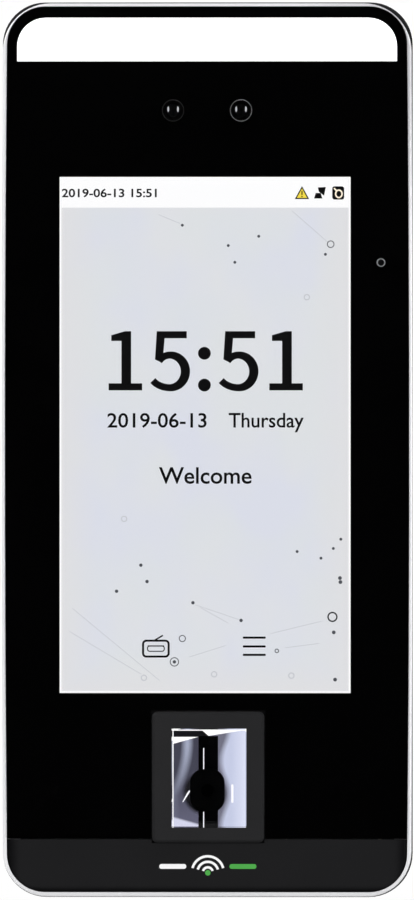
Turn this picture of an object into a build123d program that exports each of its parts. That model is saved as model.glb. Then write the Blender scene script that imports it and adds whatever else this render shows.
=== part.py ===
from build123d import *
import os

# Wall-mounted fingerprint scanner terminal, in millimetres.
# +Z is up, the wall is the plane y = 0 and the front faces -Y. The origin is the centre of the wall
# plate's back face, level with the middle of the terminal.

# ---- driving dimensions -------------------------------------------------------------------------
WIDTH, HEIGHT, DEPTH = 93.0, 203.0, 22.5
HALF_W, HALF_H = WIDTH / 2, HEIGHT / 2

# Depth of each layer, from the wall to the front.
PLATE_T = 1.2  # wall plate sheet
RIM_Y = -0.3  # back edge of the terminal
RECESS_Y = -3.6  # floor of the recess that takes the wall plate
BACK_WALL_Y = -5.2  # inner side of that floor
SEAM_Y = -13.6  # front edge of the rear housing
FRAME_BACK_Y = -14.0
LEDGE_Y = -20.6  # ledge of the frame that the glass is stuck to
GLASS_BACK_Y, GLASS_FRONT_Y = -21.3, -DEPTH
FRAME_FRONT_Y = -22.2

WALL = 2.0
TAPER_DEG = 3.0  # draft of the rear housing
R_TOP, R_BOTTOM = 9.6, 10.0  # corner radii of the rear housing
FRAME_HALF_W, FRAME_HALF_H, FRAME_BOW = 46.25, 101.15, 0.22  # just inside the rear housing's outline
FRAME_R_TOP = 10.8

# Front panel, which the glass and the chin share.
PANEL_HALF_W, PANEL_BOW = 45.3, 0.47
PANEL_TOP, PANEL_BOTTOM = 100.4, -100.1
PANEL_R = 8.6
PANEL_GAP = 0.06
LEDGE_W = 3.0
CHIN_TOP = -88.2
JOINT_GAP = 0.1  # between the glass, the chin and the bezel

# Openings in the black print behind the glass.
SCREEN_X, SCREEN_Z = -0.45, 3.4
SCREEN_HALF_W, SCREEN_HALF_H = 32.95, 58.45
LIGHT_HALF_W, LIGHT_BOTTOM, LIGHT_TOP, LIGHT_R = 43.02, 88.04, 97.88, 6.5
CAMERA_X, CAMERA_Z, CAMERA_R = 7.7, 76.9, 2.6
MIC_X, MIC_Z, MIC_R, MIC_BORE_R = 39.4, 42.45, 1.0, 0.72

# Fingerprint reader.
BEZEL_X, BEZEL_Z, BEZEL_W, BEZEL_H = 0.25, -74.1, 25.3, 29.6
FINGER_X, FINGER_Z, FINGER_W, FINGER_H = 0.45, -74.3, 17.1, 22.6
BEZEL_FRONT_Y = -23.3
CASE_BACK_Y, CASE_FRONT_Y = -10.3, -19.45
LENS_X, LENS_Z = -0.05, -77.4
FINGER_BARREL_W, FINGER_BARREL_H, FINGER_BARREL_R = 7.6, 9.6, 3.0

# Wall plate, its hooks and its lock flange.
PLATE_HALF_W, PLATE_BOTTOM, PLATE_TOP = 29.0, -78.0, 77.0
HOLE_R, HOLE_X, HOLE_Z = 2.25, 22.0, 54.0
BOX_HOLE_Z, BOX_SPACING = 38.0, 60.0  # pair of holes that fits a single wall box
HOOK_X, HOOK_W, HOOK_LIP = 20.0, 6.4, 4.8
HOOK_TOPS = (70.0, -60.0)
LIFT = 7.0  # how far the terminal goes up to come off the hooks
LOCK_Y, LOCK_Z = -5.0, -88.6
LOCK_R, LOCK_HEAD_R = 1.5, 2.8
LOCK_HEAD = (-101.0, -99.6)
TONGUE_HALF_W = 7.5

# Connector bay in the back.
BAY_HALF_W, BAY_BOTTOM, BAY_TOP, BAY_Y = 29.0, -48.0, -18.0, -14.0
BAY_WALL = 1.2

# Boards.
BOARD_BACK_Y, BOARD_FRONT_Y = -14.0, -15.6
BOARD_HALF_W, BOARD_BOTTOM, BOARD_TOP = 36.0, -14.0, 72.0
CHASSIS_BACK_Y, CHASSIS_FRONT_Y = -17.1, -17.9
CHASSIS_HALF_W, CHASSIS_BOTTOM, CHASSIS_TOP = 36.5, -57.0, 97.0
JACK_X, JACK_Y, JACK_W, JACK_H = 16.0, -10.0, 16.0, 21.3
HEADER_XS = (-28.0, -16.0, -4.0)

BOSS_R, PILOT_R = 3.2, 1.35
BOSS_FRONT_Y = -18.4
EAR_Y = -19.6  # front of the ears' pads on the frame
BOSSES = [(x, z) for x in (-40.3, 40.3) for z in (82.0, 5.0, -78.0)]  # rear housing to frame
EARS = [(x, z) for x in (-40.3, 40.3) for z in (62.0, 30.0, -35.0)]  # chassis to frame
STANDOFFS = [(x, z) for x in (-33.0, 33.0) for z in (68.0, -2.5)]  # main board to chassis

# Underside.
USB_X, USB_Y = -28.0, -9.4
RESET_X, RESET_Y, RESET_R = -14.5, -9.0, 1.5
TAMPER_X, TAMPER_Z, TAMPER_R = -12.0, 10.0, 1.5
SPEAKER_X = 26.0

os.makedirs("parts", exist_ok=True)


# ---- helpers ------------------------------------------------------------------------------------
def facing(y):
    """The plane at depth y that looks to the front, with local x along +X and local y along +Z."""
    return Plane(origin=(0, y, 0), x_dir=(1, 0, 0), z_dir=(0, -1, 0))


def upright(x):
    """The plane at x with local x along +Y and local y along +Z."""
    return Plane(origin=(x, 0, 0), x_dir=(0, 1, 0), z_dir=(1, 0, 0))


def slab(draw, back, front, mode=Mode.ADD):
    """Extrudes what draw() sketches in the X-Z plane from depth back to depth front."""
    with BuildSketch(facing(back)) as profile:
        draw()
    extrude(profile.sketch, amount=back - front, mode=mode)


def block(x, y, z, mode=Mode.ADD):
    """A box between pairs of x, y and z."""
    with Locations(((x[0] + x[1]) / 2, (y[0] + y[1]) / 2, (z[0] + z[1]) / 2)):
        Box(abs(x[1] - x[0]), abs(y[1] - y[0]), abs(z[1] - z[0]), mode=mode)


def post(x, z, radius, back, front, mode=Mode.ADD):
    """A round post or hole along Y at (x, z)."""
    with Locations(Location((x, (back + front) / 2, z), (90, 0, 0))):
        Cylinder(radius, back - front, mode=mode)


def column(x, y, radius, bottom, top, mode=Mode.ADD):
    """A round column or hole along Z at (x, y)."""
    with Locations((x, y, (bottom + top) / 2)):
        Cylinder(radius, top - bottom, mode=mode)


def outline(half_w, bottom, top, r_bottom, r_top, bow=0.0):
    """A closed outline with round corners, whose sides bow out by bow at mid height."""
    middle = (bottom + top) / 2
    with BuildLine() as edge:
        for side in (1, -1):
            low, high = (side * half_w, bottom + r_bottom), (side * half_w, top - r_top)
            if bow:
                ThreePointArc(low, (side * (half_w + bow), middle), high)
            else:
                Line(low, high)
        Line((-half_w + r_top, top), (half_w - r_top, top))
        Line((-half_w + r_bottom, bottom), (half_w - r_bottom, bottom))
        if r_top:
            CenterArc((half_w - r_top, top - r_top), r_top, 0, 90)
            CenterArc((-half_w + r_top, top - r_top), r_top, 90, 90)
        if r_bottom:
            CenterArc((-half_w + r_bottom, bottom + r_bottom), r_bottom, 180, 90)
            CenterArc((half_w - r_bottom, bottom + r_bottom), r_bottom, 270, 90)
    make_face(edge.edges())


def housing_outline(inset=0.0):
    outline(HALF_W - inset, -HALF_H + inset, HALF_H - inset, R_BOTTOM - inset, R_TOP - inset)


def frame_outline():
    outline(FRAME_HALF_W, -FRAME_HALF_H, FRAME_HALF_H, R_BOTTOM, FRAME_R_TOP, FRAME_BOW)


def panel_outline(inset=0.0):
    radius = PANEL_R - inset
    top, bottom = PANEL_TOP - inset, PANEL_BOTTOM + inset
    outline(PANEL_HALF_W - inset, bottom, top, radius, radius, PANEL_BOW)


def rectangle(x, z, width, height, mode=Mode.ADD, radius=0.0):
    with Locations((x, z)):
        if radius:
            RectangleRounded(width, height, radius, mode=mode)
        else:
            Rectangle(width, height, mode=mode)


def screen_rectangle(half_w, half_h, radius=0.0):
    rectangle(SCREEN_X, SCREEN_Z, 2 * half_w, 2 * half_h, radius=radius)


def above(z):
    """Keeps what the sketch holds above z."""
    rectangle(0, z + HEIGHT, 2 * WIDTH, 2 * HEIGHT, mode=Mode.INTERSECT)


def below(z):
    """Keeps what the sketch holds below z."""
    rectangle(0, z - HEIGHT, 2 * WIDTH, 2 * HEIGHT, mode=Mode.INTERSECT)


def ribbon(x, width, points, thickness=0.15):
    """A flat flex cable of the given width along a bent path of (y, z) points."""
    with BuildSketch(upright(x - width / 2)) as side:
        with BuildLine() as run:
            Polyline(*points)
        trace(run.edges(), line_width=thickness)
    extrude(side.sketch, amount=width)


def screw(x, z, head_y, tip_y, head_r, head_h, shank_r):
    """A pan-head screw along Y with a cross recess, driven from the back."""
    top = head_y + head_h
    post(x, z, head_r, top, head_y)
    post(x, z, shank_r, head_y, tip_y)
    recess, slot = head_r * 0.55, 0.2
    depth = (top - head_h / 2, top)
    block((x - recess, x + recess), depth, (z - slot, z + slot), Mode.SUBTRACT)
    block((x - slot, x + slot), depth, (z - recess, z + recess), Mode.SUBTRACT)


def save(piece, name):
    piece.part.label = name
    export_step(piece.part, f"parts/{name}.step")


# ---- wall plate ---------------------------------------------------------------------------------
with BuildPart() as wall_plate:
    slab(lambda: outline(PLATE_HALF_W, PLATE_BOTTOM, PLATE_TOP, 3, 3), 0, -PLATE_T)
    # the tongue reaches down and bends forward into the lock flange
    tongue_x = (-TONGUE_HALF_W, TONGUE_HALF_W)
    flange_z = (LOCK_Z - PLATE_T / 2, LOCK_Z + PLATE_T / 2)
    block(tongue_x, (0, -PLATE_T), (flange_z[0], PLATE_BOTTOM + 1))
    block(tongue_x, (0, -7.6), flange_z)
    column(0, LOCK_Y, LOCK_R + 0.3, LOCK_Z - 1, LOCK_Z + 1, Mode.SUBTRACT)
    # cable window
    slab(lambda: rectangle(0, -33, 52, 27, radius=3), 1, -PLATE_T - 1, Mode.SUBTRACT)
    for hook_top in HOOK_TOPS:
        for hook_x in (-HOOK_X, HOOK_X):
            sides = (hook_x - HOOK_W / 2, hook_x + HOOK_W / 2)
            arm = (hook_top - 0.1 - PLATE_T, hook_top - 0.1)
            window = (sides[0] - 0.4, sides[1] + 0.4)
            block(window, (1, -PLATE_T - 1), (arm[0] - 8.2, arm[0]), Mode.SUBTRACT)
            block(sides, (0, -6.7), arm)
            block(sides, (-5.5, -6.7), (arm[0], hook_top + HOOK_LIP))
    for x in (-HOLE_X, HOLE_X):
        for z in (-HOLE_Z, HOLE_Z):
            post(x, z, HOLE_R, 1, -PLATE_T - 1, Mode.SUBTRACT)
    for z in (BOX_HOLE_Z - BOX_SPACING / 2, BOX_HOLE_Z + BOX_SPACING / 2):
        post(0, z, HOLE_R, 1, -PLATE_T - 1, Mode.SUBTRACT)
save(wall_plate, "wall_plate")

# ---- rear housing -------------------------------------------------------------------------------
BACKWARD = Plane(origin=(0, SEAM_Y, 0), x_dir=(-1, 0, 0), z_dir=(0, 1, 0))
POCKET_HALF_W, POCKET_BOTTOM, POCKET_TOP, POCKET_Y = 9.0, -98.0, -83.9, -8.2
PLATE_ROOM = 0.5

with BuildPart() as rear_housing:
    with BuildSketch(BACKWARD):
        housing_outline()
    extrude(amount=RIM_Y - SEAM_Y, taper=TAPER_DEG)
    fillet(rear_housing.faces().sort_by(Axis.Y)[-1].edges(), 1.2)
    slab(lambda: housing_outline(WALL), RIM_Y - WALL, SEAM_Y - 1, Mode.SUBTRACT)
    # walls round the recess, the connector bay and the lock pocket
    recess_x = PLATE_HALF_W + PLATE_ROOM
    recess_z = (PLATE_BOTTOM - LIFT - PLATE_ROOM, PLATE_TOP + PLATE_ROOM)
    wall_x = (-recess_x - WALL, recess_x + WALL)
    wall_z = (recess_z[0] - WALL, recess_z[1] + WALL)
    block(wall_x, (RIM_Y - 1, BACK_WALL_Y), wall_z)
    bay_x = BAY_HALF_W + BAY_WALL
    block((-bay_x, bay_x), (RECESS_Y, BAY_Y - BAY_WALL), (BAY_BOTTOM - BAY_WALL, BAY_TOP + BAY_WALL))
    pocket_x = POCKET_HALF_W + 1.0
    block((-pocket_x, pocket_x), (RIM_Y - 1, POCKET_Y - 1.0), (-HALF_H + 1.2, POCKET_TOP + 1))
    # frame round the USB port and pegs for the housing screws
    block((USB_X - 10, USB_X + 10), (-4.2, SEAM_Y + 0.2), (-HALF_H + 1.5, -97.5))
    for x, z in BOSSES:
        post(x, z, BOSS_R, RIM_Y - 1, SEAM_Y)
    # the hollows
    block((-recess_x, recess_x), (1, RECESS_Y), recess_z, Mode.SUBTRACT)
    block((-BAY_HALF_W, BAY_HALF_W), (1, BAY_Y), (BAY_BOTTOM, BAY_TOP), Mode.SUBTRACT)
    block((-POCKET_HALF_W, POCKET_HALF_W), (1, POCKET_Y), (POCKET_BOTTOM, POCKET_TOP), Mode.SUBTRACT)
    # ribs in the recess that the plate lies against
    for x in (-9.0, 9.0):
        block((x - 0.6, x + 0.6), (-PLATE_T - 0.15, RECESS_Y - 0.2), (16.0, 60.0))
    for hook_top in HOOK_TOPS:
        for hook_x in (-HOOK_X, HOOK_X):
            slot = (hook_x - HOOK_W / 2 - 1.2, hook_x + HOOK_W / 2 + 1.2)
            block(slot, (1, BACK_WALL_Y - 1), (hook_top - 9.2, hook_top), Mode.SUBTRACT)
    for x, z in BOSSES:
        post(x, z, 2.7, 1, -9.0, Mode.SUBTRACT)
        post(x, z, 1.5, 1, SEAM_Y - 1, Mode.SUBTRACT)
    post(TAMPER_X, TAMPER_Z, TAMPER_R + 0.1, 1, BACK_WALL_Y - 1, Mode.SUBTRACT)
    # the connectors' mouths in the top wall of the bay
    mouth = (BAY_TOP - 0.5, BAY_TOP + BAY_WALL + 0.5)
    block((JACK_X - 6.4, JACK_X + 6.4), (JACK_Y + 4.3, BAY_Y), mouth, Mode.SUBTRACT)
    for x in HEADER_XS:
        block((x - 5.15, x + 5.15), (-7.85, BAY_Y), mouth, Mode.SUBTRACT)
    # lock screw, USB flap, USB port, reset button and speaker in the underside
    column(0, LOCK_Y, LOCK_R + 0.2, -HALF_H - 1, POCKET_BOTTOM + 1, Mode.SUBTRACT)
    column(0, LOCK_Y, LOCK_HEAD_R + 0.3, -HALF_H - 1, LOCK_HEAD[1], Mode.SUBTRACT)
    block((USB_X - 9, USB_X + 9), (-4.8, -12.8), (-HALF_H - 1, -99.9), Mode.SUBTRACT)
    block((USB_X - 6.85, USB_X + 6.85), (USB_Y + 3.15, USB_Y - 3.15), (-HALF_H, -97), Mode.SUBTRACT)
    column(RESET_X, RESET_Y, RESET_R + 0.1, -HALF_H - 1, -98, Mode.SUBTRACT)
    for step in range(7):
        slit_x = SPEAKER_X - 7.2 + 2.4 * step
        block((slit_x - 0.6, slit_x + 0.6), (-6.2, -11.8), (-HALF_H - 1, -98), Mode.SUBTRACT)
save(rear_housing, "rear_housing")

with BuildPart() as housing_seal:
    slab(lambda: housing_outline(0.7), SEAM_Y, FRAME_BACK_Y)
    slab(lambda: housing_outline(WALL - 0.1), SEAM_Y, FRAME_BACK_Y, Mode.SUBTRACT)
save(housing_seal, "housing_seal")

with BuildPart() as housing_screws:
    for x, z in BOSSES:
        screw(x, z, -9.0, -18.2, 2.5, 1.6, 1.3)
save(housing_screws, "housing_screws")

with BuildPart() as lock_screw:
    column(0, LOCK_Y, LOCK_HEAD_R, *LOCK_HEAD)
    column(0, LOCK_Y, LOCK_R, LOCK_HEAD[1], -84.0)
    with BuildSketch(Plane.XY.offset(LOCK_HEAD[0])):
        with Locations((0, LOCK_Y)):
            RegularPolygon(1.25, 6)
    extrude(amount=0.9, mode=Mode.SUBTRACT)
save(lock_screw, "lock_screw")

# ---- frame --------------------------------------------------------------------------------------
FRAME_WALL_X = 44.8  # inside the frame's side walls, where its bosses and pads grow from
with BuildPart() as mid_frame:
    slab(frame_outline, FRAME_BACK_Y, FRAME_FRONT_Y)
    front = mid_frame.faces().sort_by(Axis.Y)[0]
    fillet(front.outer_wire().edges(), 0.35)
    slab(lambda: housing_outline(1.9), FRAME_BACK_Y + 1, LEDGE_Y + 1.2, Mode.SUBTRACT)
    slab(lambda: panel_outline(LEDGE_W), FRAME_BACK_Y, FRAME_FRONT_Y - 1, Mode.SUBTRACT)
    slab(lambda: panel_outline(-PANEL_GAP), LEDGE_Y, FRAME_FRONT_Y - 1, Mode.SUBTRACT)
    for x, z in BOSSES:
        side = 1 if x > 0 else -1
        block((x, side * FRAME_WALL_X), (FRAME_BACK_Y, BOSS_FRONT_Y), (z - 1.5, z + 1.5))
        post(x, z, BOSS_R, FRAME_BACK_Y, BOSS_FRONT_Y)
        post(x, z, PILOT_R, FRAME_BACK_Y, BOSS_FRONT_Y, Mode.SUBTRACT)
    for x, z in EARS:
        side = 1 if x > 0 else -1
        block((x - side * 2.6, side * FRAME_WALL_X), (CHASSIS_FRONT_Y, EAR_Y), (z - 3.5, z + 3.5))
        post(x, z, 0.95, CHASSIS_FRONT_Y, EAR_Y, Mode.SUBTRACT)
    # shelf behind the microphone
    block((37.6, FRAME_WALL_X), (-16.4, -17.2), (MIC_Z - 3, MIC_Z + 3))
save(mid_frame, "mid_frame")

# ---- front --------------------------------------------------------------------------------------
NOTCH_W = BEZEL_W + 2 * JOINT_GAP


def front_notch(z_low, extra=0.0):
    """Cuts the fingerprint bezel's place out of a front layer, from z_low up."""
    top = BEZEL_Z + BEZEL_H / 2 + JOINT_GAP + extra
    rectangle(BEZEL_X, (top + z_low) / 2, NOTCH_W + 2 * extra, top - z_low, Mode.SUBTRACT)


def glass_outline():
    panel_outline()
    above(CHIN_TOP + JOINT_GAP)
    front_notch(PANEL_BOTTOM)


with BuildPart() as cover_glass:
    slab(glass_outline, GLASS_BACK_Y, GLASS_FRONT_Y)
    post(MIC_X, MIC_Z, MIC_R, GLASS_BACK_Y + 1, GLASS_FRONT_Y - 1, Mode.SUBTRACT)
    chamfer(cover_glass.faces().sort_by(Axis.Y)[0].outer_wire().edges(), 0.1)
save(cover_glass, "cover_glass")


def light_window(grow=0.0):
    radius = LIGHT_R + grow
    outline(LIGHT_HALF_W + grow, LIGHT_BOTTOM - grow, LIGHT_TOP + grow, 0, radius)


def ink_outline():
    panel_outline(PANEL_GAP + 0.02)
    above(CHIN_TOP + JOINT_GAP)
    front_notch(PANEL_BOTTOM, extra=0.3)


with BuildPart() as ink_mask:
    ink = (GLASS_BACK_Y + 0.02, GLASS_BACK_Y + 0.1)
    slab(ink_outline, ink[1], ink[0])
    slab(lambda: screen_rectangle(SCREEN_HALF_W, SCREEN_HALF_H), ink[1], ink[0], Mode.SUBTRACT)
    slab(light_window, ink[1], ink[0], Mode.SUBTRACT)
    for x in (-CAMERA_X, CAMERA_X):
        post(x, CAMERA_Z, CAMERA_R, ink[1], ink[0], Mode.SUBTRACT)
    post(MIC_X, MIC_Z, MIC_R, ink[1], ink[0], Mode.SUBTRACT)
save(ink_mask, "ink_mask")

with BuildPart() as glass_gasket:
    gasket = (LEDGE_Y, GLASS_BACK_Y + 0.12)
    slab(lambda: (panel_outline(0.4), above(CHIN_TOP + 1)), *gasket)
    slab(lambda: panel_outline(2.6), *gasket, Mode.SUBTRACT)
    slab(lambda: light_window(0.5), *gasket, Mode.SUBTRACT)
save(glass_gasket, "glass_gasket")

with BuildPart() as chin_cover:
    slab(lambda: (panel_outline(), below(CHIN_TOP)), LEDGE_Y - 0.05, GLASS_FRONT_Y)
    rim = chin_cover.faces().sort_by(Axis.Y)[0].edges().filter_by(lambda e: e.center().Z < CHIN_TOP - 1)
    fillet(rim, 0.9)
    notch_low = BEZEL_Z - BEZEL_H / 2 - JOINT_GAP
    notch_x = (BEZEL_X - NOTCH_W / 2, BEZEL_X + NOTCH_W / 2)
    block(notch_x, (LEDGE_Y + 1, -DEPTH - 1), (notch_low, CHIN_TOP + 1), Mode.SUBTRACT)
    for x in (-32.0, 32.0):  # snap tabs that go behind the frame's ledge
        block((x - 3, x + 3), (LEDGE_Y - 0.05, -18.2), (-96.9, -95.9))
        block((x - 3, x + 3), (-19.2, -18.2), (-97.6, -95.9))
save(chin_cover, "chin_cover")

# ---- light bar ----------------------------------------------------------------------------------
with BuildPart() as light_diffuser:
    slab(lambda: light_window(0.3), LEDGE_Y - 0.05, GLASS_BACK_Y + 0.12)
    slab(lambda: rectangle(0, 92.2, 78, 8.6, radius=1.5), -19.9, LEDGE_Y - 0.05)
save(light_diffuser, "light_diffuser")

LIGHT_BOARD = (CHASSIS_FRONT_Y - 0.05, -18.95)
with BuildPart() as light_board:
    slab(lambda: rectangle(0, 92.2, 70, 7), *LIGHT_BOARD)
save(light_board, "light_board")

with BuildPart() as light_leds:
    for step in range(8):
        led_x = -31.5 + 9 * step
        block((led_x - 1.4, led_x + 1.4), (LIGHT_BOARD[1], LIGHT_BOARD[1] - 0.75), (91.5, 92.9))
save(light_leds, "light_leds")

# ---- cameras ------------------------------------------------------------------------------------
with BuildPart() as camera_board:
    slab(lambda: rectangle(0, CAMERA_Z, 36, 12.5, radius=1), *LIGHT_BOARD)
save(camera_board, "camera_board")

BARREL_FRONT_Y = GLASS_BACK_Y + 0.15
BARREL_BASE_Y = -19.7
LENS_FRONT_Y = -21.0
LENS_CURVE = 4.4  # radius of the lens's front face
for name, x in (("left", -CAMERA_X), ("right", CAMERA_X)):
    with BuildPart() as barrel:
        block((x - 4.2, x + 4.2), (LIGHT_BOARD[1], BARREL_BASE_Y), (CAMERA_Z - 4.2, CAMERA_Z + 4.2))
        post(x, CAMERA_Z, 3.4, BARREL_BASE_Y, BARREL_FRONT_Y)
        with Locations(Location((x, BARREL_FRONT_Y + 0.35, CAMERA_Z), (90, 0, 0))):
            Cone(1.5, 2.2, 0.7, mode=Mode.SUBTRACT)  # hood that narrows to the lens
        post(x, CAMERA_Z, 1.5, -19.6, BARREL_FRONT_Y, Mode.SUBTRACT)
    save(barrel, f"camera_barrel_{name}")

    with BuildPart() as lens:
        post(x, CAMERA_Z, 1.45, -20.2, LENS_FRONT_Y)
        with Locations((x, LENS_FRONT_Y + LENS_CURVE, CAMERA_Z)):
            Sphere(LENS_CURVE, mode=Mode.INTERSECT)
    save(lens, f"camera_lens_{name}")

with BuildPart() as infrared_leds:
    for x in (-15.2, 15.2):
        block((x - 1.8, x + 1.8), (LIGHT_BOARD[1], -19.6), (CAMERA_Z - 1.8, CAMERA_Z + 1.8))
        post(x, CAMERA_Z, 1.3, -19.6, -20.5)
save(infrared_leds, "infrared_leds")

# ---- screen -------------------------------------------------------------------------------------
TRAY_HALF_W, TRAY_HALF_H, TRAY_T = SCREEN_HALF_W + 2.05, SCREEN_HALF_H + 2.25, 0.3
TRAY_BACK_Y = CHASSIS_FRONT_Y - 0.1
TRAY_LOW_Z = SCREEN_Z - TRAY_HALF_H

with BuildPart() as backlight_frame:
    slab(lambda: screen_rectangle(TRAY_HALF_W, TRAY_HALF_H, 1), TRAY_BACK_Y, -21.0)
    inner_w, inner_h = TRAY_HALF_W - TRAY_T, TRAY_HALF_H - TRAY_T
    slab(lambda: screen_rectangle(inner_w, inner_h), TRAY_BACK_Y - TRAY_T, -22.0, Mode.SUBTRACT)
    # the display flex comes out through a gap in the lower edge
    block((-19, -4), (-19.2, -21.5), (TRAY_LOW_Z - 1, TRAY_LOW_Z + 1), Mode.SUBTRACT)
save(backlight_frame, "backlight_frame")

with BuildPart() as backlight_guide:
    slab(lambda: screen_rectangle(inner_w - 0.1, inner_h - 0.1), TRAY_BACK_Y - TRAY_T - 0.05, -19.65)
save(backlight_guide, "backlight_guide")

with BuildPart() as lcd_panel:
    slab(lambda: screen_rectangle(inner_w - 0.1, inner_h - 0.1), -19.7, -21.0)
save(lcd_panel, "lcd_panel")

with BuildPart() as display_flex:
    fold_z = TRAY_LOW_Z - 0.7
    fold = [(-20.3, TRAY_LOW_Z + 0.3), (-20.3, fold_z), (-16.3, fold_z), (-16.3, -12.0), (-15.75, -7.0)]
    ribbon(-11.5, 12, fold)
save(display_flex, "display_flex")

# ---- chassis and main board ---------------------------------------------------------------------
with BuildPart() as inner_chassis:
    middle = (CHASSIS_TOP + CHASSIS_BOTTOM) / 2
    slab(
        lambda: rectangle(0, middle, 2 * CHASSIS_HALF_W, CHASSIS_TOP - CHASSIS_BOTTOM, radius=2),
        CHASSIS_BACK_Y,
        CHASSIS_FRONT_Y,
    )
    for x, z in EARS:
        block((x - 3, x + 3), (CHASSIS_BACK_Y, CHASSIS_FRONT_Y), (z - 3.4, z + 3.4))
        side = 1 if x > 0 else -1
        block((side * 35, x), (CHASSIS_BACK_Y, CHASSIS_FRONT_Y), (z - 3.4, z + 3.4))
        post(x, z, 1.1, CHASSIS_BACK_Y, CHASSIS_FRONT_Y, Mode.SUBTRACT)
    for x, z in STANDOFFS:
        post(x, z, 2.2, BOARD_FRONT_Y, CHASSIS_BACK_Y)
        post(x, z, 1.0, BOARD_FRONT_Y + 1, CHASSIS_FRONT_Y - 0.1, Mode.SUBTRACT)
    # lightening windows and the camera flex slot
    for z in (15.0, -28.0):
        slab(lambda: rectangle(0, z, 44, 26, radius=4), CHASSIS_BACK_Y, CHASSIS_FRONT_Y, Mode.SUBTRACT)
    block((-9, 9), (CHASSIS_BACK_Y, CHASSIS_FRONT_Y), (66.0, 68.0), Mode.SUBTRACT)
save(inner_chassis, "inner_chassis")

with BuildPart() as chassis_screws:
    for x, z in EARS:
        screw(x, z, CHASSIS_BACK_Y, -19.5, 1.9, 1.2, 0.9)
save(chassis_screws, "chassis_screws")

JACK_BOTTOM = BAY_TOP + BAY_WALL
with BuildPart() as main_board:
    height = BOARD_TOP - BOARD_BOTTOM
    centre = (BOARD_TOP + BOARD_BOTTOM) / 2
    slab(lambda: rectangle(0, centre, 2 * BOARD_HALF_W, height, radius=2), BOARD_BACK_Y, BOARD_FRONT_Y)
    gap = JACK_W / 2 + 0.2
    jack_room = (BOARD_BOTTOM - 1, JACK_BOTTOM + JACK_H + 0.2)
    block((JACK_X - gap, JACK_X + gap), (BOARD_BACK_Y, BOARD_FRONT_Y), jack_room, Mode.SUBTRACT)
    for x, z in STANDOFFS:
        post(x, z, 1.2, BOARD_BACK_Y, BOARD_FRONT_Y, Mode.SUBTRACT)
save(main_board, "main_board")

with BuildPart() as board_screws:
    for x, z in STANDOFFS:
        screw(x, z, BOARD_BACK_Y, -17.6, 2.0, 1.3, 0.95)
save(board_screws, "board_screws")

with BuildPart() as board_chips:
    # processor and memory under the shield, then power, radio, network and storage round it
    chips = (
        (0.0, 38.0, 14.0, 14.0, 1.3),
        (-10.0, 44.5, 7.0, 11.0, 1.0),
        (-10.0, 31.5, 7.0, 11.0, 1.0),
        (24.0, 58.0, 12.0, 12.0, 2.2),
        (24.0, 42.0, 6.0, 6.0, 0.9),
        (0.0, 60.0, 9.0, 9.0, 1.0),
        (16.0, 14.0, 9.0, 7.0, 1.2),
        (0.0, 14.0, 7.0, 5.0, 1.5),
        (-26.0, 30.0, 6.5, 6.5, 3.0),
        (-26.0, 20.0, 6.5, 6.5, 3.0),
    )
    for x, z, width, tall, thick in chips:
        chip_x, chip_z = (x - width / 2, x + width / 2), (z - tall / 2, z + tall / 2)
        block(chip_x, (BOARD_BACK_Y, BOARD_BACK_Y + thick), chip_z)
    for x in (-30.0, -22.0):  # two capacitors of the power supply
        post(x, 5.0, 3.0, BOARD_BACK_Y + 6.5, BOARD_BACK_Y)
save(board_chips, "board_chips")

with BuildPart() as processor_shield:
    block((-15, 15), (BOARD_BACK_Y, BOARD_BACK_Y + 2.3), (23, 53))
    block((-14.75, 14.75), (BOARD_BACK_Y, BOARD_BACK_Y + 2.05), (23.25, 52.75), Mode.SUBTRACT)
save(processor_shield, "processor_shield")

BATTERY_X, BATTERY_Z = -25.0, 56.0
with BuildPart() as battery_holder:
    slab(lambda: rectangle(BATTERY_X, BATTERY_Z, 15, 15, radius=2), BOARD_BACK_Y + 3.2, BOARD_BACK_Y)
    post(BATTERY_X, BATTERY_Z, 6.4, BOARD_BACK_Y + 4, BOARD_BACK_Y + 0.6, Mode.SUBTRACT)
save(battery_holder, "battery_holder")

with BuildPart() as clock_battery:
    post(BATTERY_X, BATTERY_Z, 6.25, BOARD_BACK_Y + 2.6, BOARD_BACK_Y + 0.65)
save(clock_battery, "clock_battery")

with BuildPart() as door_relay:
    block((26.0, 35.5), (BOARD_BACK_Y, -6.5), (13, 32))
    fillet(door_relay.edges().filter_by(Axis.Y), 0.6)
save(door_relay, "door_relay")

with BuildPart() as ethernet_jack:
    jack_x = (JACK_X - JACK_W / 2, JACK_X + JACK_W / 2)
    block(jack_x, (JACK_Y + 4.4, JACK_Y - 6.4), (JACK_BOTTOM, JACK_BOTTOM + JACK_H))
    socket = (JACK_BOTTOM - 1, JACK_BOTTOM + 14)
    block((JACK_X - 5.9, JACK_X + 5.9), (JACK_Y + 3.4, BAY_Y + 0.2), socket, Mode.SUBTRACT)
save(ethernet_jack, "ethernet_jack")

with BuildPart() as jack_contacts:
    wire_z = (JACK_BOTTOM + 1.5, JACK_BOTTOM + 13.5)
    for step in range(8):
        wire_x = JACK_X - 3.57 + 1.02 * step
        block((wire_x - 0.2, wire_x + 0.2), (BAY_Y + 0.2, BAY_Y + 0.7), wire_z)
save(jack_contacts, "jack_contacts")

HEADER_Z = (BAY_TOP + 0.2, -6.5)
with BuildPart() as wiring_headers:
    for x in HEADER_XS:
        block((x - 5, x + 5), (-8.0, BOARD_BACK_Y), HEADER_Z)
        block((x - 4.3, x + 4.3), (-8.8, -13.2), (HEADER_Z[0] - 1, HEADER_Z[0] + 8), Mode.SUBTRACT)
save(wiring_headers, "wiring_headers")

with BuildPart() as header_pins:
    for x in HEADER_XS:
        for step in range(4):
            column(x - 3 + 2 * step, -11.0, 0.3, HEADER_Z[0] + 1.5, HEADER_Z[0] + 8)
save(header_pins, "header_pins")

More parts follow.
